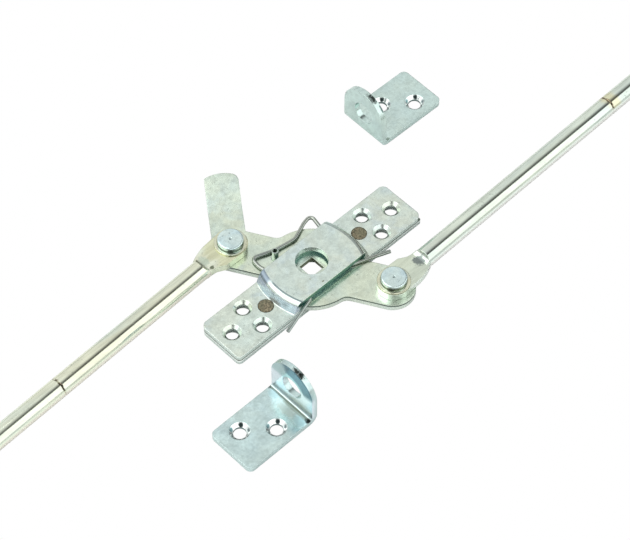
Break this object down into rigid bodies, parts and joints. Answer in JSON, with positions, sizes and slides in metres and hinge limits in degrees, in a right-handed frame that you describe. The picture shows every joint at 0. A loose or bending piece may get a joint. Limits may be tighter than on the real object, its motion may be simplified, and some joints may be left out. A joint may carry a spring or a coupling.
{
  "type": "rod lock",
  "caption": "Two-rod rod lock: a square-spindle cam between riveted plates draws two pinned round rods in and out against a wire detent, with guide brackets.",
  "frame": {"origin": "axis of the square spindle hole, on the face that lies against the door", "axes": "+Z out of the door, +X along the plates towards the right-hand rod"},
  "size_m": [0.42, 0.1304, 0.0289],
  "materials": {
    "plate_zinc": "bright zinc plated sheet",
    "cam_zinc": "bright zinc plated stamping",
    "guide_zinc": "bright zinc plated sheet",
    "rod_zinc": "zinc plated drawn bar, mottled",
    "pin_zinc": "bright zinc plated",
    "wire_steel": "bright spring wire",
    "spring_steel": "bright spring steel",
    "rivet_steel": "ground flush, unplated"
  },
  "bodies": {
    "case": {"back_plate": "plate_zinc", "bridge_plate": "plate_zinc", "plate_rivets": "rivet_steel", "wire_spring": "wire_steel", "right_guide_bracket": "guide_zinc", "left_guide_bracket": "guide_zinc"},
    "cam": {"cam_plate": "cam_zinc", "hub_ring": "cam_zinc", "stop_pin": "spring_steel", "left_pivot_pin": "pin_zinc", "right_pivot_pin": "pin_zinc", "left_pin_washer": "pin_zinc", "right_pin_washer": "pin_zinc"},
    "left_rod": {"left_rod_eye": "rod_zinc", "left_rod_bar": "rod_zinc"},
    "right_rod": {"right_rod_eye": "rod_zinc", "right_rod_bar": "rod_zinc"}
  },
  "joints": [
    {"name": "cam_turn", "type": "hinge", "parent": "case", "child": "cam", "pos_m": [0, 0, 0.005], "axis": [0, 0, 1], "range_deg": [-57, 0], "deforming": ["wire_spring"]},
    {"name": "left_rod_pivot", "type": "hinge", "parent": "cam", "child": "left_rod", "pos_m": [-0.02, 0.03464, 0.009], "axis": [0, 0, 1], "range_deg": [0, 57]},
    {"name": "right_rod_pivot", "type": "hinge", "parent": "cam", "child": "right_rod", "pos_m": [0.02, -0.03464, 0.009], "axis": [0, 0, 1], "range_deg": [0, 57]}
  ],
  "couplings": [
    {"joint": "left_rod_pivot", "follows": "cam_turn", "ratio": -1},
    {"joint": "right_rod_pivot", "follows": "cam_turn", "ratio": -1}
  ]
}
